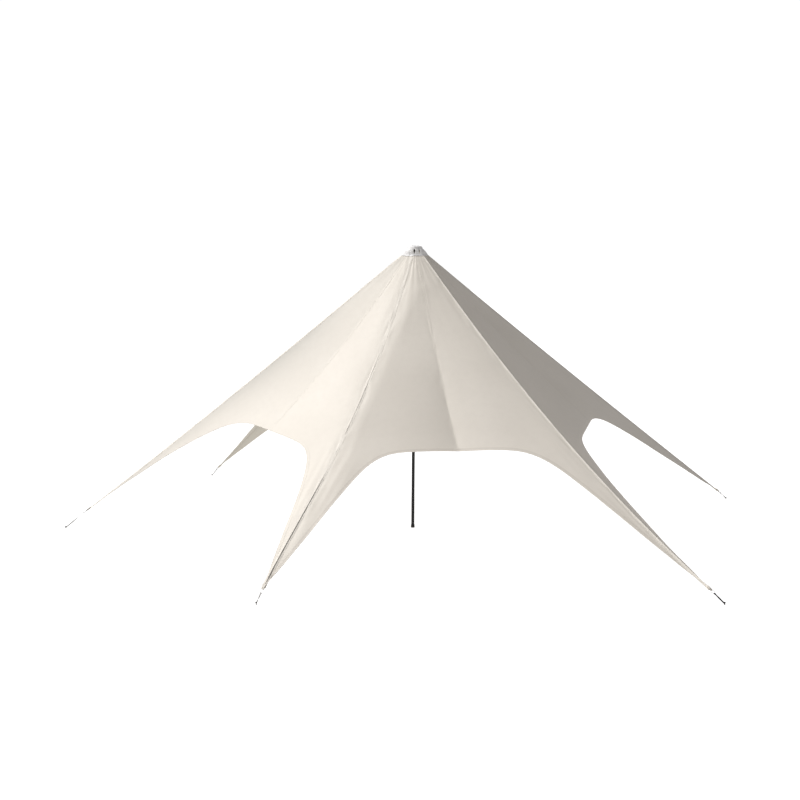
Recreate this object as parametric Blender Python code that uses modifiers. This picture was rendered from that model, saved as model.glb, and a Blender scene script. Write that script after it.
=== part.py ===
"""A star-shaped peak tent: one centre pole, six arms staked to the ground and six walk-in arches.

Metres, +Z up, ground at z = 0 and the pole on the Z axis. The front arch faces -Y. Azimuths are in degrees
from -Y towards +X. A place on the cloth is given by two numbers. Depth runs from 0 at the peak to 1 at the
arm tips, and spread runs from 0 at the middle seam of a bay to 1 at the ridge on either side of it.
"""

import math
from collections import namedtuple

import bmesh
import bpy
from mathutils import Matrix, Vector

# Canopy
PEAK_HEIGHT = 5.550  # where the ridge lines would meet, above the crown
TIP_HEIGHT = 0.045  # where the ridge lines reach the stake heads
HEM_HEIGHT = 5.29  # the cloth's top hem, just below the crown
CLOTH_THICKNESS = 0.006
SEW_GAP = 0.0009  # between cloth and the webbing beside it
ARCH_DEPTH = 0.570  # depth of the cloth's lower edge at the middle of a bay
CLOTH_STOP = 0.010  # how much sooner, in depth, the cloth narrows to nothing than its webbing ends
CLOTH_FULLNESS = 0.035  # how far each half panel swells out
PANEL_COLUMNS = 10
PANEL_ROWS = 12

# Webbing on the ridges and at the crown
WEBBING_HALF_WIDTH = 0.040
WEBBING_HALF_WIDTH_AT_CROWN = 0.025
WEBBING_THICKNESS = 0.006
WEBBING_ROWS = PANEL_ROWS + 2  # one more at the crown and one at the tip, the rest level with the cloth's

# Crown and pole
CROWN_RADIUS = 0.120
CROWN_HEIGHT = 5.470
HEAD_FLANGE_THICKNESS = 0.020
SPIGOT_LENGTH = 0.120
CAP_RADIUS = 0.140
CAP_RISE = 0.058
CAP_GAP = 0.0004
POLE_RADIUS = 0.030
POLE_WALL = 0.003
POLE_JOINT_HEIGHT = 2.75
SLEEVE_RADIUS = 0.035
SLEEVE_LENGTH = 0.200
FOOT_RADIUS = 0.038
FOOT_SOLE = 0.012
FOOT_HEIGHT = 0.060
SLIDE_GAP = 0.0003

# Hardware at each arm's tip
RING_RADIUS = 0.035
RING_WIRE = 0.006
STRAP_WIDTH = 0.025
STRAP_THICKNESS = 0.005
STRAP_DROP = 0.021  # from the underside of the stake's head to the strap's middle line at the stake
STAKE_RADIUS = 0.009
STAKE_HEAD_RADIUS = 0.016
STAKE_HEAD_THICKNESS = 0.008
STAKE_NECK_HEIGHT = 0.036  # underside of the head
HARDWARE_GAP = 0.0004

ROUND_STEPS = 24
SMALL_ROUND_STEPS = 12

# sag is how far the ridge hangs below a straight line and sag_at where along the arm it is deepest.
# cloth_end is the depth at which the cloth ends and the tip ring hangs.
Arm = namedtuple("Arm", "name azimuth reach sag sag_at cloth_end")
ARMS = (
    Arm("front_left", -23.3, 6.00, 0.588, 0.393, 0.968),
    Arm("front_right", 42.4, 7.12, 0.375, 0.523, 0.965),
    Arm("right", 114.6, 7.69, 0.04, 0.432, 0.972),
    Arm("back_right", 149.0, 7.50, 0.15, 0.45, 0.960),
    Arm("back_left", 221.5, 7.41, 0.15, 0.45, 0.960),
    Arm("left", 273.2, 6.78, 0.062, 0.59, 0.940),
)

# The lower edge of a half panel is a rounded corner: squareness along the arch and along the arm.
Corner = namedtuple("Corner", "across along")
Bay = namedtuple("Bay", "name first second valley left_corner right_corner")
BAYS = (
    Bay("front", 0, 1, 0.055, Corner(7.2, 0.80), Corner(6.65, 1.00)),
    Bay("right", 1, 2, 0.050, Corner(11.0, 0.80), Corner(2.64, 0.80)),
    Bay("back_right", 2, 3, 0.040, Corner(4.5, 0.95), Corner(4.5, 0.95)),
    Bay("back", 3, 4, 0.050, Corner(5.6, 0.95), Corner(5.6, 0.95)),
    Bay("back_left", 4, 5, 0.050, Corner(5.6, 0.95), Corner(5.6, 0.95)),
    Bay("left", 5, 0, -0.0275, Corner(3.90, 1.82), Corner(7.35, 0.80)),
)

# Colour, roughness and metallic value of each finish
CLOTH_FINISH = ("cream cloth", (0.86, 0.83, 0.75, 1), 0.75, 0.0)
WEBBING_FINISH = ("pale webbing", (0.80, 0.78, 0.72, 1), 0.8, 0.0)
POLE_FINISH = ("black paint", (0.015, 0.015, 0.017, 1), 0.45, 0.0)
HEAD_FINISH = ("white plastic", (0.85, 0.85, 0.84, 1), 0.4, 0.0)
RING_FINISH = ("zinc-plated steel", (0.55, 0.55, 0.55, 1), 0.35, 1.0)
STAKE_FINISH = ("dark steel", (0.06, 0.06, 0.065, 1), 0.5, 1.0)
RUBBER_FINISH = ("black rubber", (0.02, 0.02, 0.02, 1), 0.85, 0.0)


def clear_scene():
    for obj in list(bpy.data.objects):
        bpy.data.objects.remove(obj, do_unlink=True)


def new_collection(name):
    made = bpy.data.collections.new(name)
    bpy.context.scene.collection.children.link(made)
    return made


def finish(obj, spec):
    """Gives the object a plain material: name, colour, roughness and metallic value."""
    name, colour, roughness, metallic = spec
    material = bpy.data.materials.get(name)
    if material is None:
        material = bpy.data.materials.new(name)
        material.use_nodes = True
        shader = material.node_tree.nodes["Principled BSDF"]
        shader.inputs["Base Color"].default_value = colour
        shader.inputs["Roughness"].default_value = roughness
        shader.inputs["Metallic"].default_value = metallic
    obj.data.materials.append(material)


def new_object(collection, parent, name, mesh, spec):
    obj = bpy.data.objects.new(name, mesh)
    collection.objects.link(obj)
    obj.parent = parent
    mesh.shade_smooth()
    mesh.set_sharp_from_angle(angle=math.radians(35))
    finish(obj, spec)
    return obj


def new_empty(collection, parent, name, azimuth=0.0):
    obj = bpy.data.objects.new(name, None)
    collection.objects.link(obj)
    obj.parent = parent
    obj.rotation_euler.z = math.radians(azimuth)
    return obj


def mix(a, b, share):
    return a * (1 - share) + b * share


def solve_between(low, high, error):
    """The value between low and high at which a rising error passes zero."""
    for _ in range(50):
        middle = (low + high) / 2
        if error(middle) < 0:
            low = middle
        else:
            high = middle
    return (low + high) / 2


# The canopy's surface


def ridge_point(arm, depth):
    """A point on an arm's ridge line."""
    first_power = max(1.0, arm.sag_at / (1 - arm.sag_at))
    second_power = max(1.0, (1 - arm.sag_at) / arm.sag_at)
    deepest = arm.sag_at**first_power * (1 - arm.sag_at) ** second_power
    sag = arm.sag * depth**first_power * max(0.0, 1 - depth) ** second_power / deepest
    angle = math.radians(arm.azimuth)
    away = arm.reach * depth
    height = mix(PEAK_HEIGHT, TIP_HEIGHT, depth) - sag
    return Vector((away * math.sin(angle), -away * math.cos(angle), height))


def hem_depth(arm):
    """The depth at which an arm's ridge passes the height of the top hem."""
    return solve_between(0.0, 0.2, lambda depth: HEM_HEIGHT - ridge_point(arm, depth).z)


def bay_arms(bay):
    return ARMS[bay.first], ARMS[bay.second]


def half_chord(bay, depth):
    """Half the straight distance from one ridge of the bay to the other."""
    first, second = bay_arms(bay)
    return (ridge_point(second, depth) - ridge_point(first, depth)).length / 2


def bay_normal(bay):
    """The direction in which the bay's cloth faces, outwards and up."""
    first, second = bay_arms(bay)
    left = ridge_point(first, ARCH_DEPTH)
    right = ridge_point(second, ARCH_DEPTH)
    peak = Vector((0, 0, PEAK_HEIGHT))
    return (right - left).cross(peak - left).normalized()


def cloth_point(bay, side, spread, depth):
    """A point on the bay's outer surface: side is -1 on the left half, seen from outside, and 1 on the right."""
    first, second = bay_arms(bay)
    across = (1 + side * spread) / 2
    chord = mix(ridge_point(first, depth), ridge_point(second, depth), across)
    swell = CLOTH_FULLNESS * math.sin(math.pi * spread) - bay.valley * (1 - spread) ** 4
    taut = math.sin(math.pi * min(1.0, depth))
    return chord + bay_normal(bay) * swell * taut


def edge_place(corner, tip_depth, turn):
    """(spread, depth) on the lower edge: turn runs from 0 at the middle of the arch to 1 on the ridge."""
    angle = turn * math.pi / 2
    spread = math.sin(angle) ** (2 / corner.across)
    fall = 1 - math.cos(angle) ** (2 / corner.along)
    return spread, mix(ARCH_DEPTH, tip_depth, fall)


def spread_beside_ridge(bay, depth):
    return 1 - (WEBBING_HALF_WIDTH + SEW_GAP) / half_chord(bay, depth)


def spread_beside_seam(bay, depth):
    return SEW_GAP / 2 / half_chord(bay, depth)


def last_turn(bay, corner, tip_depth):
    """Where along the lower edge the cloth narrows to nothing beside the ridge webbing."""

    def error(turn):
        spread, depth = edge_place(corner, tip_depth, turn)
        return spread - spread_beside_ridge(bay, depth)

    return solve_between(0.5, 1.0, error)


def tip_depth_of(bay, corner, arm):
    """The depth at which the lower edge would meet the ridge, so that the cloth stops at the arm's end."""

    def error(tip_depth):
        end = edge_place(corner, tip_depth, last_turn(bay, corner, tip_depth))[1]
        return end - (arm.cloth_end - CLOTH_STOP)

    return solve_between(0.8, 1.1, error)


def mapped_grid(name, columns, rows, place, outwards):
    """An open surface: a flat grid whose points are moved to place(across, down), both from 0 to 1."""
    mesh = bpy.data.meshes.new(name)
    bm = bmesh.new()
    bmesh.ops.create_grid(bm, x_segments=columns, y_segments=rows, size=0.5)
    for vertex in bm.verts:
        vertex.co = place(vertex.co.x + 0.5, vertex.co.y + 0.5)
    bm.normal_update()
    if sum((face.normal * face.calc_area() for face in bm.faces), Vector()).dot(outwards) < 0:
        bmesh.ops.reverse_faces(bm, faces=bm.faces)
    bm.to_mesh(mesh)
    bm.free()
    return mesh


def thicken(obj, thickness):
    """Solidify inwards, so that the mesh's own surface is the outer one."""
    shell = obj.modifiers.new("Thickness", "SOLIDIFY")
    shell.thickness = thickness
    shell.offset = -1


def half_panel(collection, parent, bay, side):
    """Half of a bay's cloth, from the top hem to the arch, between the middle seam and a ridge webbing."""
    arm = bay_arms(bay)[0 if side < 0 else 1]
    other = bay_arms(bay)[1 if side < 0 else 0]
    corner = bay.left_corner if side < 0 else bay.right_corner
    tip_depth = tip_depth_of(bay, corner, arm)
    end_turn = last_turn(bay, corner, tip_depth)
    crowding = max(2, corner.across / 3.5)

    def share_across(spread, depth):
        near, far = spread_beside_seam(bay, depth), spread_beside_ridge(bay, depth)
        return min(1.0, max(0.0, (spread - near) / (far - near)))

    def place(across, down):
        spread, end_depth = edge_place(corner, tip_depth, end_turn * across**crowding)
        share = share_across(spread, end_depth)
        middle = (hem_depth(arm) + hem_depth(other)) / 2
        depth = mix(mix(middle, hem_depth(arm), share), end_depth, down)
        here = mix(spread_beside_seam(bay, depth), spread_beside_ridge(bay, depth), share)
        return cloth_point(bay, side, here, depth)

    half = "left" if side < 0 else "right"
    name = f"{bay.name}_panel_{half}_half"
    mesh = mapped_grid(name, PANEL_COLUMNS, PANEL_ROWS, place, bay_normal(bay))
    thicken(new_object(collection, parent, name, mesh, CLOTH_FINISH), CLOTH_THICKNESS)


def crown_point(arm, sideways):
    """A point where an arm's webbing meets the mast head, sideways metres from the webbing's middle."""
    angle = math.radians(arm.azimuth)
    drop = CROWN_HEIGHT - HEM_HEIGHT
    lean = drop / math.hypot(drop, arm.reach * hem_depth(arm) - CROWN_RADIUS)
    clear = CROWN_RADIUS + HARDWARE_GAP + WEBBING_THICKNESS * lean
    out = Vector((math.sin(angle), -math.cos(angle), 0)) * clear
    along = Vector((math.cos(angle), math.sin(angle), 0)) * sideways
    return out + along + Vector((0, 0, CROWN_HEIGHT))


def ridge_webbing(collection, parent, index):
    """The band that carries an arm's pull, folded over the ridge from the mast head to the tip ring."""
    arm = ARMS[index]
    bays = {-1: BAYS[index - 1], 1: BAYS[index]}
    top = hem_depth(arm)

    def place(across, down):
        side = round(2 * across - 1)
        row = round(down * WEBBING_ROWS)
        if row == 0:
            return crown_point(arm, side * WEBBING_HALF_WIDTH_AT_CROWN)
        depth = arm.cloth_end
        if row < WEBBING_ROWS:
            depth = mix(top, arm.cloth_end - CLOTH_STOP, (row - 1) / PANEL_ROWS)
        if side == 0:
            return ridge_point(arm, depth)
        bay = bays[side]
        spread = 1 - WEBBING_HALF_WIDTH / half_chord(bay, depth)
        return cloth_point(bay, -side, spread, depth)

    name = f"{arm.name}_ridge_webbing"
    outwards = bay_normal(bays[-1]) + bay_normal(bays[1])
    mesh = mapped_grid(name, 2, WEBBING_ROWS, place, outwards)
    thicken(new_object(collection, parent, name, mesh, WEBBING_FINISH), WEBBING_THICKNESS)


# Turned pieces


def turned(collection, parent, name, profile, spec, steps=ROUND_STEPS):
    """A solid turned round Z from (radius, height) points that run down its outer side."""
    mesh = bpy.data.meshes.new(name)
    bm = bmesh.new()
    corners = [bm.verts.new((radius, 0, height)) for radius, height in profile]
    for upper, lower in zip(corners, corners[1:]):
        bm.edges.new((upper, lower))
    bm.to_mesh(mesh)
    bm.free()
    obj = new_object(collection, parent, name, mesh, spec)
    screw = obj.modifiers.new("Turn", "SCREW")
    screw.steps = steps
    screw.render_steps = steps
    screw.use_merge_vertices = True
    screw.merge_threshold = 0.0001
    return obj


def tube(collection, parent, name, outer, inner, top, bottom, spec):
    profile = ((inner, top), (outer, top), (outer, bottom), (inner, bottom), (inner, top))
    return turned(collection, parent, name, profile, spec)


def centre_pole(collection, parent):
    """Two steel tubes end to end, with a sleeve round the joint between them."""
    inner = POLE_RADIUS - POLE_WALL
    joint_gap = SLIDE_GAP / 2
    tube(collection, parent, "lower_pole_section", POLE_RADIUS, inner,
         POLE_JOINT_HEIGHT - joint_gap, FOOT_SOLE + SLIDE_GAP, POLE_FINISH)
    tube(collection, parent, "upper_pole_section", POLE_RADIUS, inner,
         CROWN_HEIGHT - HEAD_FLANGE_THICKNESS - SLIDE_GAP, POLE_JOINT_HEIGHT + joint_gap, POLE_FINISH)
    tube(collection, parent, "pole_joint_sleeve", SLEEVE_RADIUS, POLE_RADIUS + SLIDE_GAP,
         POLE_JOINT_HEIGHT + SLEEVE_LENGTH / 2, POLE_JOINT_HEIGHT - SLEEVE_LENGTH / 2, POLE_FINISH)


def pole_foot(collection, parent):
    """A rubber shoe with a plug inside the tube and a collar round it."""
    plug = POLE_RADIUS - POLE_WALL - SLIDE_GAP
    collar = POLE_RADIUS + SLIDE_GAP
    profile = (
        (0, FOOT_HEIGHT), (plug, FOOT_HEIGHT), (plug, FOOT_SOLE), (collar, FOOT_SOLE),
        (collar, FOOT_HEIGHT), (FOOT_RADIUS - 0.004, FOOT_HEIGHT), (FOOT_RADIUS, FOOT_SOLE), (FOOT_RADIUS, 0), (0, 0),
    )
    turned(collection, parent, "pole_foot", profile, RUBBER_FINISH)


def mast_head(collection, parent):
    """A round flange that the webbing bands meet, with a spigot down into the pole."""
    spigot = POLE_RADIUS - POLE_WALL - SLIDE_GAP
    underside = CROWN_HEIGHT - HEAD_FLANGE_THICKNESS
    profile = (
        (0, CROWN_HEIGHT), (CROWN_RADIUS, CROWN_HEIGHT), (CROWN_RADIUS, underside),
        (spigot, underside), (spigot, underside - SPIGOT_LENGTH), (0, underside - SPIGOT_LENGTH),
    )
    turned(collection, parent, "mast_head", profile, HEAD_FINISH)


def crown_cap(collection, parent):
    """The low dome on the mast head, which covers the ends of the webbing bands."""
    bottom = CROWN_HEIGHT + CAP_GAP
    rim = 0.012
    arcs = 6
    dome = [
        (CAP_RADIUS * math.sin(step / arcs * math.pi / 2),
         bottom + rim + (CAP_RISE - rim) * math.cos(step / arcs * math.pi / 2))
        for step in range(arcs + 1)
    ]
    turned(collection, parent, "crown_cap", (*dome, (CAP_RADIUS, bottom), (0, bottom)), HEAD_FINISH)


# Hardware at the tips, each set in its arm's own frame: X across the arm, -Y outwards


def tip_points(arm):
    """Where the webbing ends and where the strap reaches the stake, in the arm's frame."""
    end = Vector((0, -arm.reach * arm.cloth_end, ridge_point(arm, arm.cloth_end).z))
    before = arm.cloth_end - CLOTH_STOP
    run = end - Vector((0, -arm.reach * before, ridge_point(arm, before).z))
    upwards = Vector((0, run.z, -run.y)).normalized()
    webbing_end = end - upwards * WEBBING_THICKNESS / 2
    stake_side = Vector((0, -arm.reach, STAKE_NECK_HEIGHT - STRAP_DROP))
    return webbing_end, stake_side


def tip_ring(collection, parent, arm):
    """A welded ring in the plane of the strap."""
    webbing_end, stake_side = tip_points(arm)
    along = (stake_side - webbing_end).normalized()
    centre = webbing_end + along * (RING_RADIUS + RING_WIRE + HARDWARE_GAP)
    bpy.ops.mesh.primitive_torus_add(
        major_radius=RING_RADIUS, minor_radius=RING_WIRE, major_segments=16, minor_segments=6
    )
    made = bpy.context.object
    mesh = made.data
    mesh.transform(Matrix.Rotation(math.atan2(-along.z, -along.y), 4, "X"))
    bpy.data.objects.remove(made)
    obj = new_object(collection, parent, f"{arm.name}_tip_ring", mesh, RING_FINISH)
    obj.location = centre


def ground_strap(collection, parent, arm):
    """Flat webbing, taut from the ring to just under the stake's head."""
    webbing_end, stake_side = tip_points(arm)
    along = (stake_side - webbing_end).normalized()
    start = webbing_end + along * (2 * (RING_RADIUS + RING_WIRE) + 2 * HARDWARE_GAP)
    slant = STRAP_THICKNESS / 2 * abs(along.z)
    end = stake_side - along * (STAKE_RADIUS + slant + HARDWARE_GAP) / abs(along.y)
    mesh = bpy.data.meshes.new(f"{arm.name}_ground_strap")
    bm = bmesh.new()
    size = Matrix.Diagonal((STRAP_WIDTH, (end - start).length, STRAP_THICKNESS, 1))
    tilt = Matrix.Rotation(math.atan2(-along.z, -along.y), 4, "X")
    bmesh.ops.create_cube(bm, size=1, matrix=tilt @ size)
    bm.to_mesh(mesh)
    bm.free()
    obj = new_object(collection, parent, mesh.name, mesh, WEBBING_FINISH)
    obj.location = (start + end) / 2


def ground_stake(collection, parent, arm):
    """The part of a driven stake above ground, with the head that holds the strap down."""
    top = STAKE_NECK_HEIGHT + STAKE_HEAD_THICKNESS
    profile = (
        (0, top), (STAKE_HEAD_RADIUS, top), (STAKE_HEAD_RADIUS, STAKE_NECK_HEIGHT),
        (STAKE_RADIUS, STAKE_NECK_HEIGHT), (STAKE_RADIUS, 0), (0, 0),
    )
    obj = turned(collection, parent, f"{arm.name}_ground_stake", profile, STAKE_FINISH, SMALL_ROUND_STEPS)
    obj.location.y = -arm.reach


def main():
    clear_scene()
    collection = new_collection("peak_tent")
    tent = new_empty(collection, None, "tent_centre")
    for bay in BAYS:
        half_panel(collection, tent, bay, -1)
        half_panel(collection, tent, bay, 1)
    for index, arm in enumerate(ARMS):
        ridge_webbing(collection, tent, index)
        frame = new_empty(collection, tent, f"{arm.name}_arm", arm.azimuth)
        tip_ring(collection, frame, arm)
        ground_strap(collection, frame, arm)
        ground_stake(collection, frame, arm)
    centre_pole(collection, tent)
    pole_foot(collection, tent)
    mast_head(collection, tent)
    crown_cap(collection, tent)


main()
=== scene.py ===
"""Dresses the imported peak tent: sewn cloth, webbing, crown, pole and ground hardware, in a plain studio.

Laid out as a Blender add-on and run as a script. Metres, +Z up, ground at z = 0 and the pole on the Z axis.
A place on the cloth is given by two numbers. Depth runs from 0 at the peak to 1 at the arm tips. Spread runs
from -1 at a bay's left ridge, seen from outside, through 0 at its middle seam to 1 at its right ridge.
"""

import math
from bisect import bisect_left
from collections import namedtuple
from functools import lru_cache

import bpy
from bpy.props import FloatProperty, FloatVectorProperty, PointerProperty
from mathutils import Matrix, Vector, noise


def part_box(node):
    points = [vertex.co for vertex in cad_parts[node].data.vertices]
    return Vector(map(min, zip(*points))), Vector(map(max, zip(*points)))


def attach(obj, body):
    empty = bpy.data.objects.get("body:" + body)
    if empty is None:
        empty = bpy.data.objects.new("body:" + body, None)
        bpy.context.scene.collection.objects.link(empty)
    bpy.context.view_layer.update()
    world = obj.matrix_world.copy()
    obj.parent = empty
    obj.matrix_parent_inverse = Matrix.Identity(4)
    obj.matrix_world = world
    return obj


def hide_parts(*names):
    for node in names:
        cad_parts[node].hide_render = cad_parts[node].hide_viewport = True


bl_info = {
    "name": "Star-shaped Peak Tent",
    "version": (1, 0, 0),
    "blender": (4, 5, 0),
    "location": "View3D > Sidebar > Peak Tent",
    "description": "Sewn cloth, webbing, crown, pole and ground hardware of a star-shaped peak tent",
    "category": "Object",
}

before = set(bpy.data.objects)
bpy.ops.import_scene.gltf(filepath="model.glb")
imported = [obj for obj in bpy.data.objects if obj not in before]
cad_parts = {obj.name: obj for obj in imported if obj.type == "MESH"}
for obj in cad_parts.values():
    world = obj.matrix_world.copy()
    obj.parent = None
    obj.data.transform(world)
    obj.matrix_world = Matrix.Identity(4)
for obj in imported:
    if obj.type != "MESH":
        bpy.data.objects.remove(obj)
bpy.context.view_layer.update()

BODY = "root"
UP = Vector((0, 0, 1))

# The canopy's smooth surface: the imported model's, with a softer swell
PEAK_HEIGHT = 5.550  # where the ridge lines would meet, above the crown
TIP_HEIGHT = 0.045  # where the ridge lines reach the stake heads
HEM_HEIGHT = 5.35  # the cloth's top hem, a little up under the crown's petals
ARCH_DEPTH = 0.570  # depth of the cloth's lower edge at the middle of a bay
CLOTH_STOP = 0.010  # how much sooner, in depth, the cloth narrows to nothing than its webbing ends
CLOTH_FULLNESS = 0.016  # how far each half panel swells out
WEBBING_HALF_WIDTH = 0.040
WEBBING_HALF_WIDTH_AT_CROWN = 0.025
SLANT = 8.8  # metres along an arm for a depth of 1, near enough for spacing folds and stitches

Arm = namedtuple("Arm", "name azimuth reach sag sag_at cloth_end")
Corner = namedtuple("Corner", "across along roll")
Bay = namedtuple("Bay", "name first second valley trim lean left_corner right_corner")


def middle_of(node):
    """The middle of a node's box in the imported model."""
    low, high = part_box(node)
    return (low + high) / 2


def arm_on_frame(name, sag, sag_at, cloth_end):
    """An arm whose bearing and reach come from where its stake stands."""
    stake = middle_of(f"{name}_ground_stake")
    return Arm(name, math.atan2(stake.x, -stake.y), math.hypot(stake.x, stake.y), sag, sag_at, cloth_end)


# sag is how far a ridge hangs below a straight line, sag_at the depth where it hangs most and cloth_end the
# depth where its ring hangs
ARMS = (
    arm_on_frame("front_left", 0.588, 0.393, 0.968),
    arm_on_frame("front_right", 0.375, 0.523, 0.965),
    arm_on_frame("right", 0.04, 0.432, 0.972),
    arm_on_frame("back_right", 0.15, 0.45, 0.960),
    arm_on_frame("back_left", 0.15, 0.45, 0.960),
    arm_on_frame("left", 0.062, 0.59, 0.940),
)

# valley is how deep a bay's middle seam pulls in, trim how much higher, in depth, its lower edge is cut there
# and lean how far the seam runs off the bay's middle, as a share of half the bay.
# A corner has the squareness of its lower edge along the arch and along the arm, and how steeply the cloth
# rolls up off its ridge, as a slope against the bay's own plane.
BAYS = (
    Bay("front", 0, 1, 0.074, 0.0082, 0.045, Corner(7.5, 0.56, 0.29), Corner(6.55, 1.00, 0.02)),
    Bay("right", 1, 2, 0.000, 0, 0, Corner(11.0, 0.67, 0.03), Corner(2.64, 0.80, 0.00)),
    Bay("back_right", 2, 3, 0.030, 0, 0, Corner(4.5, 0.95, -0.06), Corner(4.5, 0.95, 0.03)),
    Bay("back", 3, 4, 0.036, 0, 0, Corner(5.6, 0.95, 0.05), Corner(7.5, 0.95, 0.05)),
    Bay("back_left", 4, 5, 0.036, 0, 0, Corner(7.0, 0.95, 0.03), Corner(5.6, 0.95, -0.06)),
    Bay("left", 5, 0, -0.0126, 0, 0, Corner(3.90, 1.82, 0.02), Corner(7.4, 0.76, 0.05)),
)

# Fine shape of the cloth
CLOTH_COLUMNS = 52
CLOTH_ROWS = 110
EDGE_SAMPLES = 300
NEARBY = 0.002  # the step in spread and depth over which the surface's slope is taken
SEAMLESS = -math.pi / 4 * CLOTH_FULLNESS  # the valley at which a bay's halves meet without a crease
CREASE_STARTS = 0.12, 0.54  # depths between which the middle seams pull in more and more
ROLL_WIDTH = 0.45  # of the soft roll beside a ridge, high up and along the arms
ROLL_WIDTH_BELOW = 0.28
ROLL_NARROWS = 0.08, 0.26  # depths between which it gets narrower
ROLL_WIDENS = 0.50, 0.62  # and wide again, down the arms
ROLL_FADES = 0.80, 0.95  # and between which it loses half its slope
FOLD_REACH = 1.6  # how far down from the peak the crown's folds run before they are a third as high
PULL_STARTS = 0.45, 0.70  # depths between which the arms' pull folds rise
PULL_REACH = 0.5  # how far from a ridge they are a third as high
HELD_WIDTH = 0.02  # beside a ridge, where its webbing holds the cloth flat
SLACK_STARTS = 0.3  # how far from a ridge the panels' broad waves reach their full height
RIDGE_PUCKER_WIDTH = 0.11
SEAM_PUCKER_WIDTH = 0.07

# Painted shade beside the ridges, and soil on the cloth, from 0 to 1
RIDGE_SHADE = 0.28  # beside most ridges
RIGHT_BAY_SHADE = 0.40, 0.05  # beside the front right ridge in the right bay, and its reach
LEFT_SHADE = 0.45, 0.95  # beside the left ridge, high up and lower down
LEFT_SHADE_GROWS = 0.12, 0.36  # depths between which it changes over
LEFT_SHADE_FADES = 0.42, 0.60  # and those between which it then loses a quarter
TIP_SOIL_ENDS = 0.1, 0.7  # heights between which the soil at the tips ends
CROWN_SOIL_ENDS = 0.35, 0.75  # metres down from the peak between which the soil at the crown ends

# Stitches, real ones grouped into longer ones that can be made as geometry
STITCH_PITCH = 0.022
STITCH_LENGTH = 0.015
STITCH_WIDTH = 0.0022
STITCH_TOP = 0.0011
STITCH_UNDERSIDE = 0.0006

# Hems, seams and webbing: metres from row to row, and widths
HEM_PITCH = 0.045
SEAM_PITCH = 0.040
WEBBING_PITCH = 0.050
WEBBING_CROWN_ROWS = 6  # rows of a band from the top hem to the mast head
FACING_WIDTH = 0.16  # of the doubled cloth under the top hem
RING_LOOP_RADIUS = 0.0085  # of webbing round a ring's wire
RING_LOOP_LENGTH = 0.03
STAKE_LOOP_RADIUS = 0.0104
STRAP_CLEARANCE = 0.006  # from the ground to a strap's lower edge at its stake
STRAP_LAYER_OFFSET = 0.0026  # from a ground strap's middle to each of its two layers

# The front ridges' webbing, by depth
PROUD_PIPING = (0.24, 0.30), (0.48, 0.52), (0.60, 0.66)  # where the left one's piping rises, sinks and rises
DARK_SPOT = 0.553, 0.008  # a small dark spot's place and reach beside it
PINCHED_FOLD = (0.64, 0.70), (0.93, 0.955)  # where the painted shade of its pinched fold comes and goes

# The crown's petals
PETAL_ROWS = 12  # from the top hem to the cap's rim
PETAL_CAP_ROWS = 5  # more rows, over the cap
PETAL_OFFSETS = (-1.0, -0.94, -0.7, -0.35, 0.0, 0.35, 0.7, 0.94, 1.0)
PETAL_OVERLAP = 0.004  # how far, in depth, they reach down over the cloth
PETAL_BULGE = 0.010
CAP_RIM = 0.012  # height of the cap's rim, under its dome
CAP_CLEARANCE = 0.0035
CAP_ANGLES = 98, 38  # degrees from upright between which the petals lie over the dome

ROUND_STEPS = 48
SHARP_ANGLE = math.radians(40)
SMOOTH_ANGLE = math.radians(35)


def tent():
    """All of the tent's settings."""
    return bpy.context.scene.peak_tent


def mix(a, b, share):
    return a * (1 - share) + b * share


def solve_between(low, high, error):
    """The value between low and high at which a rising error passes zero."""
    for _ in range(40):
        middle = (low + high) / 2
        if error(middle) < 0:
            low = middle
        else:
            high = middle
    return (low + high) / 2


def bump_between(value, low, high):
    """Rises smoothly from 0 at low to 1 at high."""
    share = min(1.0, max(0.0, (value - low) / (high - low)))
    return share * share * (3 - 2 * share)


def metres_along(points):
    """Metres run along a line of points, one number for each."""
    run = [0.0]
    for before, after in zip(points, points[1:]):
        run.append(run[-1] + (after - before).length)
    return run


def place_on(run, at):
    """(index, share): at lies that share of the way from the entry before the index to the one at it."""
    index = min(len(run) - 1, max(1, bisect_left(run, at)))
    return index, (at - run[index - 1]) / max(1e-9, run[index] - run[index - 1])


# The smooth surface


@lru_cache(maxsize=8192)
def ridge_point(arm, depth):
    """A point on an arm's ridge line."""
    first_power = max(1.0, arm.sag_at / (1 - arm.sag_at))
    second_power = max(1.0, (1 - arm.sag_at) / arm.sag_at)
    deepest = arm.sag_at**first_power * (1 - arm.sag_at) ** second_power
    sag = arm.sag * max(0.0, depth) ** first_power * max(0.0, 1 - depth) ** second_power / deepest
    away = arm.reach * depth
    height = mix(PEAK_HEIGHT, TIP_HEIGHT, depth) - sag
    return Vector((away * math.sin(arm.azimuth), -away * math.cos(arm.azimuth), height))


@lru_cache(maxsize=None)
def hem_depth(arm):
    """The depth at which an arm's ridge passes the height of the top hem."""
    return solve_between(0.0, 0.2, lambda depth: HEM_HEIGHT - ridge_point(arm, depth).z)


@lru_cache(maxsize=None)
def bay_arms(bay):
    return ARMS[bay.first], ARMS[bay.second]


@lru_cache(maxsize=8192)
def half_chord(bay, depth):
    """Half the straight distance from one ridge of the bay to the other."""
    first, second = bay_arms(bay)
    return (ridge_point(second, depth) - ridge_point(first, depth)).length / 2


@lru_cache(maxsize=None)
def bay_normal(bay):
    """The direction in which the bay's cloth faces, outwards and up."""
    first, second = bay_arms(bay)
    left = ridge_point(first, ARCH_DEPTH)
    right = ridge_point(second, ARCH_DEPTH)
    peak = Vector((0, 0, PEAK_HEIGHT))
    return (right - left).cross(peak - left).normalized()


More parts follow.
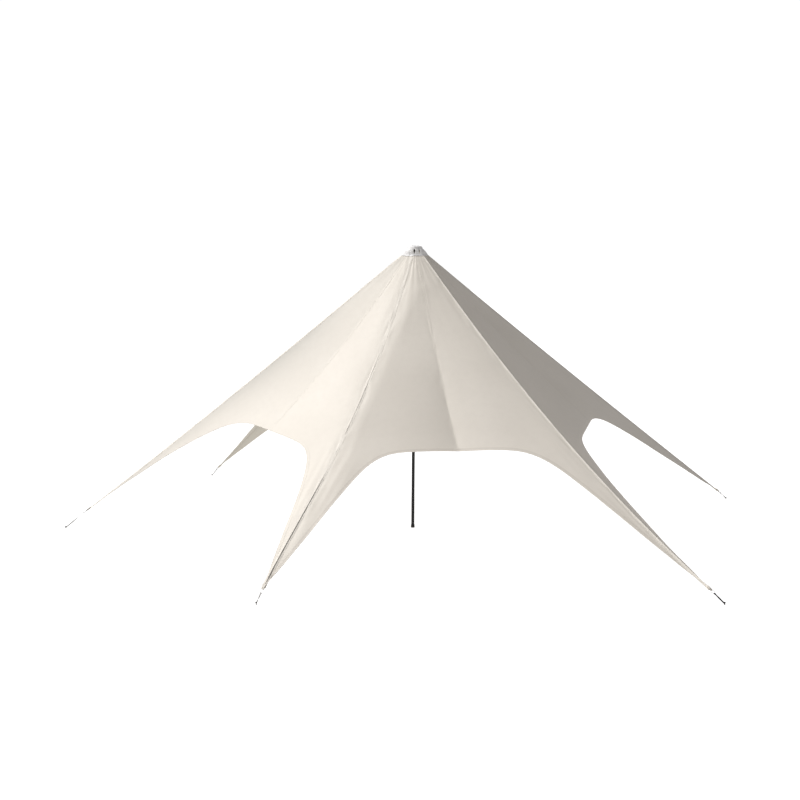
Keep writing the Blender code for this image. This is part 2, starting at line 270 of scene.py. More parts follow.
@lru_cache(maxsize=8192)
def roll_shape(bay, depth):
    """(half the chord, width of the soft roll, share of the roll's slope that is left) at a depth."""
    half = half_chord(bay, depth)
    narrow = bump_between(depth, *ROLL_NARROWS) - bump_between(depth, *ROLL_WIDENS)
    widest = mix(ROLL_WIDTH, ROLL_WIDTH_BELOW, narrow)
    return half, max(1e-4, min(widest, half)), 1 - 0.5 * bump_between(depth, *ROLL_FADES)


def roll_height(slope, away, half, width):
    """The cloth rises off a ridge at a slope, rolls over and runs straight down to the bay's other ridge."""
    beyond = slope * width / (4 * half - width)
    if away < width:
        return slope * away - (slope + beyond) / (2 * width) * away * away
    return beyond * (2 * half - away)


def smooth_point(bay, spread, depth):
    """A point on the bay's outer surface, without its small folds."""
    first, second = bay_arms(bay)
    beside = abs(spread)
    across = spread + bay.lean * (1 - beside)
    chord = mix(ridge_point(first, depth), ridge_point(second, depth), (1 + across) / 2)
    valley = mix(SEAMLESS, bay.valley, bump_between(depth, *CREASE_STARTS))
    swell = CLOTH_FULLNESS * math.sin(math.pi * beside) - valley * (1 - beside) ** 4
    half, width, left = roll_shape(bay, depth)
    if half < 1e-3:
        return chord
    roll = roll_height(bay.left_corner.roll * left, (1 + across) * half, half, width)
    roll += roll_height(bay.right_corner.roll * left, (1 - across) * half, half, width)
    taut = math.sin(math.pi * min(1.0, max(0.0, depth)))
    return chord + bay_normal(bay) * (swell * taut + roll)


def outward(bay, spread, depth):
    """The smooth surface's own normal."""
    here = smooth_point(bay, spread, depth)
    across = smooth_point(bay, spread + NEARBY, depth) - here
    down = smooth_point(bay, spread, depth + NEARBY) - here
    return down.cross(across).normalized()


def slide(bay, spread, depth, move):
    """The spread and depth of the place that lies a vector's length away along the smooth surface."""
    target = smooth_point(bay, spread, depth) + move
    for _ in range(3):
        here = smooth_point(bay, spread, depth)
        across = (smooth_point(bay, spread + NEARBY, depth) - here) / NEARBY
        down = (smooth_point(bay, spread, depth + NEARBY) - here) / NEARBY
        error = target - here
        aa, ad, dd = across.dot(across), across.dot(down), down.dot(down)
        size = aa * dd - ad * ad
        spread += (error.dot(across) * dd - error.dot(down) * ad) / size
        depth += (error.dot(down) * aa - error.dot(across) * ad) / size
    return spread, depth


# Small folds in the sewn cloth


def fold_height(bay, spread, depth, place):
    """How far the sewn cloth stands off the smooth surface, from folds, puckers and slack.

    The numbers inside each noise say how fine its pattern is, or set it apart from its neighbour's.
    """
    cloth = tent().cloth
    along = depth * SLANT
    azimuth = math.atan2(place.x, -place.y)
    round_x, round_y = math.cos(azimuth), math.sin(azimuth)
    coarse = noise.noise(Vector((round_x * 7, round_y * 7, along * 0.30)))
    fine = noise.noise(Vector((round_x * 15 + 40, round_y * 15, along * 0.45)))
    height = cloth.crown_fold * math.exp(-along / FOLD_REACH) * (coarse + 0.6 * fine)
    half = half_chord(bay, depth)
    from_ridge = (1 - abs(spread)) * half
    from_seam = abs(spread) * half
    arm = bay.first if spread < 0 else bay.second
    off_ridge = 1 - math.exp(-((from_ridge / HELD_WIDTH) ** 2))
    near_ridge = math.exp(-((from_ridge / RIDGE_PUCKER_WIDTH) ** 2)) * off_ridge
    ripple = noise.noise(Vector((along * 3.6, from_ridge * 9, arm * 11 + spread)))
    height += cloth.ridge_pucker * near_ridge * ripple
    near_seam = math.exp(-((from_seam / SEAM_PUCKER_WIDTH) ** 2))
    height += cloth.seam_pucker * near_seam * noise.noise(Vector((along * 5, from_seam * 8, bay.first * 5)))
    pull = bump_between(depth, *PULL_STARTS) * off_ridge * math.exp(-from_ridge / PULL_REACH)
    height += cloth.arm_fold * pull * noise.noise(Vector((from_ridge * 9, along * 0.8, arm * 3 + spread)))
    inland = min(1.0, from_ridge / SLACK_STARTS)
    return height + cloth.slack * inland * noise.noise(place * 0.85)


def sewn_point(bay, spread, depth, lift=0.0):
    """A point on the sewn cloth, or lift metres off it."""
    place = smooth_point(bay, spread, depth)
    out = Vector((place.x, place.y, 0)).normalized() + UP
    folded = place + out.normalized() * fold_height(bay, spread, depth, place)
    if lift:
        folded += outward(bay, spread, depth) * lift
    return folded


# The cut of half a bay's cloth


class HalfBay:
    """One half of a bay's cloth, between its middle seam and a ridge, with its run of lower edge."""

    def __init__(self, bay, side):
        self.bay = bay
        self.side = side
        self.half_name = "left" if side < 0 else "right"
        arms = bay_arms(bay)
        self.arm = arms[0 if side < 0 else 1]
        other = arms[1 if side < 0 else 0]
        self.corner = bay.left_corner if side < 0 else bay.right_corner
        self.middle_top = (hem_depth(self.arm) + hem_depth(other)) / 2
        self.end_depth = self.arm.cloth_end - CLOTH_STOP
        self.tip_depth = solve_between(0.8, 1.1, lambda tip: self.corner_place(tip, self.last_turn(tip))[1]
                                       - self.end_depth)
        end_turn = self.last_turn(self.tip_depth)
        turns = [end_turn * (step / EDGE_SAMPLES) ** 3 for step in range(EDGE_SAMPLES + 1)]
        self.edge = [self.edge_place(turn) for turn in turns]

    def corner_place(self, tip_depth, turn):
        """(spread, depth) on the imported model's lower edge: turn is 0 at its middle and 1 at the ridge."""
        angle = turn * math.pi / 2
        spread = math.sin(angle) ** (2 / self.corner.across)
        fall = 1 - math.cos(angle) ** (2 / self.corner.along)
        return spread, mix(ARCH_DEPTH, tip_depth, fall) - self.bay.trim * (1 - spread) ** 2

    def beside_ridge(self, depth):
        return 1 - WEBBING_HALF_WIDTH / half_chord(self.bay, depth)

    def last_turn(self, tip_depth):
        """Where the edge reaches the webbing's side."""

        def error(turn):
            spread, depth = self.corner_place(tip_depth, turn)
            return spread - self.beside_ridge(depth)

        return solve_between(0.5, 1.0, error)

    def edge_place(self, turn):
        """(spread, depth) on the sewn cloth's lower edge, which runs on under the webbing to the ridge."""
        spread, depth = self.corner_place(self.tip_depth, turn)
        return min(1.0, spread / self.beside_ridge(depth)), depth

    def edge_depth(self, spread):
        """The depth of the lower edge at a spread from 0 to 1."""
        index = min(len(self.edge) - 1, max(1, bisect_left(self.edge, (spread, 0.0))))
        (low, low_depth), (high, high_depth) = self.edge[index - 1 : index + 1]
        share = (spread - low) / max(1e-9, high - low)
        return mix(low_depth, high_depth, min(1.0, max(0.0, share)))

    def columns(self, count):
        """Spreads from 0 to 1, closer together beside the seam, beside the ridge and where the edge dives."""
        half = half_chord(self.bay, ARCH_DEPTH)
        run = [0.0]
        for (low, low_depth), (high, high_depth) in zip(self.edge, self.edge[1:]):
            middle = (low + high) / 2 * half
            crowding = 1 + 3 * math.exp(-middle / 0.08) + 4 * math.exp(-(half - middle) / 0.10)
            run.append(run[-1] + (high - low) * crowding + 1.2 * (high_depth - low_depth))
        spreads = []
        for step in range(count):
            index, share = place_on(run, run[-1] * step / count)
            spreads.append(mix(self.edge[index - 1][0], self.edge[index][0], share))
        return [*spreads, 1.0]

    def top_at(self, spread):
        """The depth of the top hem at a spread from 0 to 1."""
        return mix(self.middle_top, hem_depth(self.arm), spread)

    def depth_at(self, spread, down):
        """Down is 0 at the top hem and 1 at the lower edge. The arm's extra length comes late in it."""
        top = self.top_at(spread)
        end = self.end_depth if spread == 1.0 else self.edge_depth(spread)
        return top + (ARCH_DEPTH - top) * down + (end - ARCH_DEPTH) * down**4


@lru_cache(maxsize=None)
def half_bay(bay, side):
    """The left half of a bay for a side of -1, the right one for 1, cut only once."""
    return HalfBay(bay, side)


def half_under(bay, spread):
    """The half of a bay that a spread from -1 to 1 lies in."""
    return half_bay(bay, -1 if spread < 0 else 1)


# Meshes


def linked(name, data):
    """A new object in the scene."""
    thing = bpy.data.objects.new(name, data)
    bpy.context.scene.collection.objects.link(thing)
    return thing


def new_piece(name, mesh, material):
    """Adds an object that rides with the tent."""
    piece = linked(name, mesh)
    mesh.materials.append(material)
    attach(piece, BODY)
    return piece


def grid_mesh(name, rows, outwards, flats=None, marks=None, closed=False):
    """A surface over rows of points, with flat positions in metres as its UV map and numbers to paint by."""
    mesh = bpy.data.meshes.new(name)
    wide = len(rows[0])
    spans = wide if closed else wide - 1
    faces = [
        (row * wide + column, row * wide + (column + 1) % wide,
         (row + 1) * wide + (column + 1) % wide, (row + 1) * wide + column)
        for row in range(len(rows) - 1)
        for column in range(spans)
    ]
    if closed:
        faces.append(tuple(range(wide - 1, -1, -1)))
        faces.append(tuple((len(rows) - 1) * wide + column for column in range(wide)))
    mesh.from_pydata([point for row in rows for point in row], [], faces)
    if flats:
        positions = [flat for row in flats for flat in row]
        layer = mesh.uv_layers.new(name="Flat")
        for loop in mesh.loops:
            layer.data[loop.index].uv = positions[loop.vertex_index]
    for mark, values in (marks or {}).items():
        attribute = mesh.attributes.new(mark, "FLOAT", "POINT")
        attribute.data.foreach_set("value", [value for row in values for value in row])
    facing = sum((face.normal * face.area for face in mesh.polygons[: spans * (len(rows) - 1)]), Vector())
    if outwards is not None and facing.dot(outwards) < 0:
        mesh.flip_normals()
    mesh.shade_smooth()
    return mesh


def faces_out(mesh):
    """Turns a closed mesh's faces outwards, by the sign of its volume."""
    volume = 0.0
    for face in mesh.polygons:
        corners = [mesh.vertices[index].co for index in face.vertices]
        for second, third in zip(corners[1:], corners[2:]):
            volume += corners[0].dot(second.cross(third))
    if volume < 0:
        mesh.flip_normals()


def thicken(piece, thickness, offset=-1.0):
    """Gives a sheet its thickness: all under it, or with an offset of 0 half on each side."""
    shell = piece.modifiers.new("Thickness", "SOLIDIFY")
    shell.thickness = thickness
    shell.offset = offset
    return piece


def ribbon(name, path, flat_half, material):
    """A webbing ribbon along pairs of a point and a vector from there to its edge."""
    shares = (-1, -0.9, 0, 0.9, 1)
    rows = [[point + side * share for share in shares] for point, side in path]
    run = metres_along([row[2] for row in rows])
    mesh = grid_mesh(name, rows, None, [[(flat_half * share, at) for share in shares] for at in run])
    return thicken(new_piece(name, mesh, material), 0.0022, 0.0)


def ring_points(radius, steps):
    """Points round a level circle."""
    turns = [2 * math.pi * step / steps for step in range(steps)]
    return [Vector((radius * math.cos(turn), radius * math.sin(turn), 0)) for turn in turns]


def half_turn(centre, first, ahead, radius, steps):
    """Points round half a circle, which starts on the first direction's side and goes ahead."""
    turns = [math.pi * step / steps for step in range(steps + 1)]
    return [centre + first * math.cos(turn) * radius + ahead * math.sin(turn) * radius for turn in turns]


def stitching(name, lines):
    """Small raised stitches along lines of (point, outward normal)."""
    corners, faces = [], []
    for line in lines:
        points = [point for point, _ in line]
        run = metres_along(points)
        count = max(1, int(run[-1] / STITCH_PITCH))
        for step in range(count):
            index, share = place_on(run, (step + 0.5) / count * run[-1])
            start, end = points[index - 1], points[index]
            middle = start.lerp(end, share)
            ahead = (end - start).normalized() * STITCH_LENGTH / 2
            normal = line[index][1].normalized()
            beside = normal.cross(ahead).normalized() * STITCH_WIDTH / 2
            first = len(corners)
            corners += [middle + ahead, middle + beside, middle - ahead, middle - beside,
                        middle + normal * STITCH_TOP, middle - normal * STITCH_UNDERSIDE]
            for side in range(4):
                here, after = first + side, first + (side + 1) % 4
                faces += [(here, after, first + 4), (after, here, first + 5)]
    mesh = bpy.data.meshes.new(name)
    mesh.from_pydata(corners, [], faces)
    return new_piece(name, mesh, thread_material())


# Shaders


class Signal:
    """A number that varies over a surface. Python arithmetic on it adds Math nodes."""

    def __init__(self, shader, socket):
        self.shader = shader
        self.socket = socket

    def maths(self, operation, *values):
        return self.shader.signal("ShaderNodeMath", {"operation": operation}, dict(enumerate(values)))

    def __add__(self, other):
        return self.maths("ADD", self, other)

    def __rsub__(self, other):
        return self.maths("SUBTRACT", other, self)

    def __mul__(self, other):
        return self.maths("MULTIPLY", self, other)

    def wave(self):
        return self.maths("SINE", self)

    def within(self, low, high):
        """0 below low and 1 above high, with a smooth rise between them."""
        sockets = {"Value": self, "From Min": low, "From Max": high}
        return self.shader.signal("ShaderNodeMapRange", {"interpolation_type": "SMOOTHSTEP"}, sockets)


class Shader:
    """The nodes of one material or of the world."""

    def __init__(self, owner):
        owner.use_nodes = True
        self.tree = owner.node_tree
        self.tree.nodes.clear()

    def add(self, kind, settings=None, sockets=None):
        """Adds a node of any type: its settings first, then the values or links of its sockets."""
        node = self.tree.nodes.new(kind)
        for name, value in (settings or {}).items():
            setattr(node, name, value)
        for name, value in (sockets or {}).items():
            if isinstance(value, Signal):
                self.tree.links.new(value.socket, node.inputs[name])
            else:
                node.inputs[name].default_value = value
        return node

    def signal(self, kind, settings=None, sockets=None, output=0):
        return Signal(self, self.add(kind, settings, sockets).outputs[output])

    def colours(self, share, first, second):
        """One colour laid over another, by share."""
        return self.signal("ShaderNodeMix", {"data_type": "RGBA"}, {0: share, 6: first, 7: second}, 2)

    def noise(self, place, scale, detail, roughness=0.5):
        sockets = {"Vector": place, "Scale": scale, "Detail": detail, "Roughness": roughness}
        return self.signal("ShaderNodeTexNoise", None, sockets, "Fac")

    def object_place(self):
        return self.signal("ShaderNodeTexCoord", None, None, "Object")

    def mark(self, name):
        return self.signal("ShaderNodeAttribute", {"attribute_name": name}, None, "Fac")

    def axes(self, vector):
        """The X, Y and Z of a vector."""
        split = self.add("ShaderNodeSeparateXYZ", None, {"Vector": vector})
        return [Signal(self, socket) for socket in split.outputs]

    def flat_place(self):
        """(across, along) in metres on a piece of cloth or webbing."""
        return self.axes(self.signal("ShaderNodeUVMap", {"uv_map": "Flat"}, None, "UV"))[:2]

    def bump(self, height, distance, strength, under=None):
        sockets = {"Height": height, "Distance": distance, "Strength": strength}
        if under is not None:
            sockets["Normal"] = under
        return self.signal("ShaderNodeBump", None, sockets, "Normal")

    def surface(self, colour, roughness, normal=None, specular=0.5, more=None):
        """Ends the material in a Principled shader."""
        sockets = {"Base Color": colour, "Roughness": roughness, "Specular IOR Level": specular}
        sockets.update(more or {})
        if normal is not None:
            sockets["Normal"] = normal
        shader = self.add("ShaderNodeBsdfPrincipled", None, sockets)
        output = self.add("ShaderNodeOutputMaterial")
        self.tree.links.new(shader.outputs[0], output.inputs["Surface"])


def new_material(name):
    material = bpy.data.materials.new(name)
    return material, Shader(material)


def rgba(colour, share=1.0):
    return (*(channel * share for channel in colour[:3]), 1.0)


@lru_cache(maxsize=None)
def cloth_material():
    """Coated polyester: cream, faintly clouded, with a fine weave, soft creases, painted shade beside the
    ridges, soil, and a painted seam shadow along the front hem.
    """
    look = tent().cloth
    material, shader = new_material("tent_cloth")
    place = shader.object_place()
    across, along = shader.flat_place()
    clouds = shader.noise(place, 0.7, 2.0)
    mottle = shader.noise(place, 9.0, 4.0)
    cream = shader.colours(clouds.within(0.3, 0.7), rgba(look.colour), rgba(look.cloud_colour))
    cream = shader.colours(mottle.within(0.35, 0.75) * 0.25, cream, rgba(look.cloud_colour, 0.95))
    # Painted shade: the cloth darkens beside the ridges, most beside the left one, where it rolls away from
    # the light.
    cream = shader.colours(shader.mark("painted_ridge_shade"), cream, rgba(look.painted_ridge_shade_colour))
    # Soil on the tips and round the crown, and a painted seam shadow along the front hem's inner half.
    soiled = shader.colours(shader.mark("soil"), cream, rgba(look.soil_colour))
    threads = 2 * math.pi / look.weave
    weave = (across * threads).wave() * (along * threads).wave() * 0.5 + 0.5
    normal = shader.bump(weave, 0.0002, 0.6)
    normal = shader.bump(shader.noise(place, 22.0, 5.0, 0.6), 0.0012, 0.5, normal)
    shader.surface(soiled, mottle * 0.12 + 0.56, normal, 0.35, {"Sheen Weight": 0.08, "Sheen Roughness": 0.5})
    return material


@lru_cache(maxsize=None)
def webbing_material(name, colour, shade):
    """Woven webbing with ribs across it, threads along it and clouds, with painted shade between its ribs and
    in the front ridges' folds.
    """
    material, shader = new_material(name)
    look = tent().webbing
    across, along = shader.flat_place()
    ribs = (along * (2 * math.pi / look.rib_pitch)).wave() * 0.5 + 0.5
    threads = (across * (2 * math.pi / look.thread_pitch)).wave() * 0.5 + 0.5
    clouds = shader.noise(shader.object_place(), 5.0, 4.0)
    tone = shader.colours(clouds.within(0.3, 0.75) * 0.5, rgba(colour), rgba(shade))
    # Painted shade: darker between the ribs, in their grooves.
    tone = shader.colours((1 - ribs) * 0.25, tone, rgba(shade))
    # Painted shade in the front left ridge's pinched fold and down the front right ridge's shaded side.
    tone = shader.colours(shader.mark("painted_fold_shade"), tone, rgba(shade, 0.42))
    normal = shader.bump(ribs * 0.7 + threads * 0.3, 0.0006, 0.8)
    shader.surface(tone, clouds * 0.15 + 0.62, normal, 0.3, {"Sheen Weight": 0.1})
    return material


@lru_cache(maxsize=None)
def thread_material():
    """Bonded polyester thread, twisted."""
    colour = tent().cloth.thread_colour
    material, shader = new_material("sewing_thread")
    twist = shader.noise(shader.object_place(), 420.0, 2.0)
    shader.surface(shader.colours(twist, rgba(colour), rgba(colour, 0.85)), 0.5, specular=0.4)
    return material


def paint_material(name, colour, roughness, wear):
    """Powder coat with an orange-peel skin, worn thin in scattered rubs."""
    material, shader = new_material(name)
    place = shader.object_place()
    rubs = shader.noise(place, 14.0, 6.0, 0.7).within(0.78 - wear, 0.86 - wear)
    tone = shader.colours(rubs, rgba(colour), rgba(tent().hardware.steel_colour))
    normal = shader.bump(shader.noise(place, 260.0, 2.0), 0.0003, 0.5)
    shader.surface(tone, rubs * 0.2 + roughness, normal, 0.45, {"Metallic": rubs * 0.6})
    return material


@lru_cache(maxsize=None)
def zinc_material():
    """Zinc plate: bright, faintly spangled, duller where it is handled."""
    colour = tent().hardware.zinc_colour
    material, shader = new_material("zinc_plate")
    place = shader.object_place()
    dull = shader.noise(place, 60.0, 5.0, 0.65)
    tone = shader.colours(dull.within(0.35, 0.7), rgba(colour), rgba(colour, 0.62))
    normal = shader.bump(shader.noise(place, 120.0, 2.0), 0.0001, 0.15)
    shader.surface(tone, dull * 0.3 + 0.22, normal, more={"Metallic": 1.0})
    return material


def rubber_material():
    """Moulded black rubber, dusty low down."""
    look = tent().hardware
    material, shader = new_material("black_rubber")
    place = shader.object_place()
    low = 1 - shader.axes(place)[2].within(0.0, 0.05)
    dust = low * shader.noise(place, 45.0, 5.0, 0.7)
    tone = shader.colours(dust * 0.7, rgba(look.rubber_colour), rgba(look.dust_colour))
    shader.surface(tone, dust * 0.15 + 0.72, shader.bump(shader.noise(place, 320.0, 3.0), 0.0004, 0.5))
    return material


@lru_cache(maxsize=None)
def plastic_material():
    """White moulded plastic, satin, with a little scattered grime."""
    colour = tent().hardware.cap_colour
    material, shader = new_material("white_plastic")
    place = shader.object_place()
    grime = shader.noise(place, 26.0, 5.0, 0.7).within(0.5, 0.8)
    tone = shader.colours(grime * 0.35, rgba(colour), rgba(colour, 0.78))
    normal = shader.bump(shader.noise(place, 300.0, 2.0), 0.0002, 0.3)
    shader.surface(tone, grime * 0.2 + 0.34, normal, more={"Coat Weight": 0.15})
    return material


# Cloth


def cloth_marks(half, spread, depth, place):
    """(painted shade beside the ridges, soil) at a point of the cloth, each from 0 to 1."""
    cloth = tent().cloth
    from_ridge = (1 - spread) * half_chord(half.bay, depth)
    most, reach = RIDGE_SHADE, cloth.ridge_shade_width
    if (half.bay.name, half.arm.name) == ("right", "front_right"):
        most, reach = RIGHT_BAY_SHADE
    if half.arm.name == "left":
        lower = bump_between(depth, *LEFT_SHADE_GROWS)
        most = mix(*LEFT_SHADE, lower) * (1 - 0.25 * bump_between(depth, *LEFT_SHADE_FADES))
        reach = cloth.left_shade_width * mix(0.6, 1.0, lower)
    low = 1 - bump_between(place.z, *TIP_SOIL_ENDS)
    crown = 1 - bump_between(depth * SLANT, *CROWN_SOIL_ENDS)
    cloudy = 0.5 + 0.5 * noise.noise(place * 3.1)
    return most * math.exp(-from_ridge / reach), min(1.0, 0.22 * low * cloudy + 0.04 * crown * cloudy)


def named_marks(marks):
    """Rows of cloth_marks' pairs as the cloth material's attributes."""
    return {
        name: [[pair[index] for pair in row] for row in marks]
        for index, name in enumerate(("painted_ridge_shade", "soil"))
    }


def cloth_half(half):
    """The fine sheet of half a bay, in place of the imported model's plain one."""
    bay = half.bay
    spreads = half.columns(CLOTH_COLUMNS)
    rows, flats, marks = [], [], []
    for step in range(CLOTH_ROWS + 1):
        places = [(spread, half.depth_at(spread, step / CLOTH_ROWS)) for spread in spreads]
        rows.append([sewn_point(bay, half.side * spread, depth) for spread, depth in places])
        marks.append([cloth_marks(half, *place, point) for place, point in zip(places, rows[-1])])
        flats.append([(spread * half_chord(bay, depth), depth * SLANT) for spread, depth in places])
    name = f"{bay.name}_cloth_{half.half_name}_half"
    mesh = grid_mesh(name, rows, bay_normal(bay), flats, named_marks(marks))
    piece = new_piece(name, mesh, cloth_material())
    thicken(piece, tent().cloth.thickness)
    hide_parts(f"{bay.name}_panel_{half.half_name}_half")
    return piece, rows


def declare_sheet(rows):
    """Works out the flat cut's length, the ridge edge's, and its width, the furthest that the cloth reaches
    from it, and keeps neither.
    """
    ridge = [row[-1] for row in rows]
    length = metres_along(ridge)[-1]
    line = (ridge[-1] - ridge[0]).normalized()
    width = max((point - ridge[0]).cross(line).length for row in rows for point in row)


# Hems and seams


def edge_path(bay):
    """(spread, depth) along a bay's whole lower edge, from its left tip to its right one, evenly spaced."""
    places = [(-spread, depth) for spread, depth in reversed(half_bay(bay, -1).edge)]
    places += half_bay(bay, 1).edge[1:]
    run = metres_along([smooth_point(bay, *place) for place in places])
    count = round(run[-1] / HEM_PITCH)
    path = []
    for step in range(count + 1):
        index, share = place_on(run, run[-1] * step / count)
        path.append(tuple(mix(low, high, share) for low, high in zip(places[index - 1], places[index])))
    return path


def hem_profile(width, cord):
    """(inland, lift) round the folded hem: from its stitched edge out, round the cord and back under."""
    return (
        (width, 0.0003), (width * 0.97, 0.0008), (width * 0.93, 0.0009), (width * 0.5, 0.0009),
        (cord * 3.2, 0.0009), (cord * 2.5, 0.0010), (cord, cord * 0.75), (0, cord), (-cord * 0.9, 0.0),
        (0, -cord), (cord, -cord * 0.9), (cord * 2, -0.0030), (width * 0.85, -0.0026), (width, -0.0018),
    )


def arch_hem(bay, material):
    """The folded hem round a bay's lower edge, with a cord in its fold, and its line of stitches."""
    hem = tent().hem
    # On the front hem this is a painted seam shadow: a darker line along its inner half.
    dust = hem.dust if bay.name == "front" else 0.0
    path = edge_path(bay)
    points = [smooth_point(bay, *place) for place in path]
    run = metres_along(points)
    rows, flats, marks, line = [], [], [], []
    for index, (spread, depth) in enumerate(path):
        ahead = (points[min(len(points) - 1, index + 1)] - points[max(0, index - 1)]).normalized()
        normal = outward(bay, spread, depth)
        inwards = ahead.cross(normal).normalized()
        if inwards.z < 0:
            inwards = -inwards
        room = (1 - abs(spread)) * half_chord(bay, depth)
        width = min(hem.width, 0.006 + 0.75 * room)
        profile = hem_profile(width, min(hem.cord_radius, 0.4 * width))
        row = []
        for inland, lift in profile:
            if inland > 0:
                row.append(sewn_point(bay, *slide(bay, spread, depth, inwards * inland), lift))
            else:
                row.append(sewn_point(bay, spread, depth, lift) + inwards * inland)
        rows.append(row)
        flats.append([(inland, run[index]) for inland, _ in profile])
        shade, soil = cloth_marks(half_under(bay, spread), abs(spread), depth, points[index])
        # The painted seam shadow is added to the soil on the front hem's inner half.
        marks.append([(shade, soil + (dust if inland >= width * 0.5 else 0.0)) for inland, _ in profile])
        stitched = slide(bay, spread, depth, inwards * width * 0.88)
        line.append((sewn_point(bay, *stitched, 0.0012), normal))
    name = f"{bay.name}_arch_hem"
    mesh = grid_mesh(name, rows, None, flats, named_marks(marks), closed=True)
    faces_out(mesh)
    return new_piece(name, mesh, material), line


def middle_seam(bay, material):
    """The felled seam between a bay's halves: a doubled strip with two rows of stitches."""
    widest = tent().seam.width / 2
    inner = [(offset, 0.0008) for offset in (-0.92, -0.4, 0.0, 0.4, 0.92)]
    profile = [(-1.0, 0.0003), (-0.96, 0.0007), *inner, (0.96, 0.0007), (1.0, 0.0003)]
    top, end = half_bay(bay, 1).middle_top, ARCH_DEPTH - bay.trim
    count = round((end - top) * SLANT / SEAM_PITCH)
    rows, flats, lines = [], [], {-1: [], 1: []}
    for step in range(count + 1):
        depth = mix(top, end, step / count)
        half = half_chord(bay, depth)
        width = min(widest, 0.3 * half)
        rows.append([sewn_point(bay, offset * width / half, depth, lift) for offset, lift in profile])
        flats.append([(offset * width, depth * SLANT) for offset, _ in profile])
        for side, line in lines.items():
            line.append((sewn_point(bay, side * 0.7 * width / half, depth, 0.0011), outward(bay, 0.0, depth)))
    unmarked = [[(0.0, 0.0)] * len(profile)] * len(rows)
    name = f"{bay.name}_middle_seam"
    mesh = grid_mesh(name, rows, bay_normal(bay), flats, named_marks(unmarked))
    return thicken(new_piece(name, mesh, material), 0.0014), list(lines.values())


def crown_facing(bay, material):
    """The doubled facing round the top hem, which takes the crown's pull."""
    rows, flats, marks, line = [], [], [], []
    for share in (0.0, 0.25, 0.5, 0.75, 0.94, 0.98, 1.0):
        row, flat, mark = [], [], []
        for spread in (column / 16 - 1 for column in range(33)):
            half = half_under(bay, spread)
            depth = half.top_at(abs(spread)) + FACING_WIDTH / SLANT * share
            row.append(sewn_point(bay, spread, depth, 0.0003 if share == 1.0 else 0.0008))
            flat.append((spread * half_chord(bay, depth), depth * SLANT))
            mark.append(cloth_marks(half, abs(spread), depth, row[-1]))
            if share == 0.94:
                line.append((sewn_point(bay, spread, depth, 0.0011), bay_normal(bay)))
        rows.append(row)
        flats.append(flat)
        marks.append(mark)
    name = f"{bay.name}_crown_facing"
    mesh = grid_mesh(name, rows, bay_normal(bay), flats, named_marks(marks))
    return thicken(new_piece(name, mesh, material), 0.0016), line


# Webbing on the ridges


def level_frame(azimuth):
    """(across, outwards) unit vectors of an arm with that bearing."""
    across = Vector((math.cos(azimuth), math.sin(azimuth), 0))
    return across, Vector((math.sin(azimuth), -math.cos(azimuth), 0))


def crown_rim():
    """(radius, height) of the mast head's rim."""
    low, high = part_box("mast_head")
    return (high.x - low.x) / 2, high.z


def crown_point(azimuth, sideways, clear):
    """A point beside the mast head's rim, sideways metres from the middle of a band that meets it there."""
    radius, height = crown_rim()
    across, out = level_frame(azimuth)
    return out * (radius + clear) + across * sideways + UP * height


def ridge_normal(index):
    """The direction in which the cloth on both sides of an arm's ridge faces, not of unit length."""
    return bay_normal(BAYS[index - 1]) + bay_normal(BAYS[index])


def ridge_place(index, offset, depth, lift):
    """A point offset metres across an arm's ridge, on the cloth beside it or over the ridge line itself."""
    if offset == 0:
        return sewn_point(BAYS[index], -1.0, depth) + ridge_normal(index).normalized() * lift
    bay = BAYS[index - 1] if offset < 0 else BAYS[index]
    beside = 1 - abs(offset) / half_chord(bay, depth)
    return sewn_point(bay, beside if offset < 0 else -beside, depth, lift)


def piping_share(arm, depth):
    """How proud a ridge's piping stands: the front left one in two stretches, the side ones hardly."""
    if arm.name == "front_left":
        rises, sinks, rises_again = (bump_between(depth, *between) for between in PROUD_PIPING)
        return mix(0.2, 1.0, rises - sinks + rises_again)
    return 1.3 if arm.name == "front_right" else 0.35


def painted_fold_shade(arm, depth, offset):
    """Painted shade on the webbing to the right of a front ridge's piping.

    The right one has it all down its shaded side. The left one has it in a pinched fold low down, with one
    small dark spot above it.
    """
    if arm.name == "front_right":
        return 0.25 if offset > 0.01 else 0.0
    if arm.name != "front_left" or not 0.005 < offset < 0.02:
        return 0.0
    dark_spot = math.exp(-(((depth - DARK_SPOT[0]) / DARK_SPOT[1]) ** 2))
    comes, goes = (bump_between(depth, *between) for between in PINCHED_FOLD)
    return max(0.6 * dark_spot, comes * (1 - goes))


def webbing_section(bead, rise):
    """(offset, lift) points across a band, from its left edge over the piping to its right edge."""
    half = WEBBING_HALF_WIDTH
    side = [(half, 0.0008), (half - 0.001, 0.0019), (half - 0.002, 0.0020), (half * 0.6, 0.0021),
            (bead * 1.5, 0.0023), (bead * 0.95, max(0.0025, rise * 0.75))]
    return [*((-offset, lift) for offset, lift in side), (0.0, max(0.0027, rise * 1.5)), *reversed(side)]


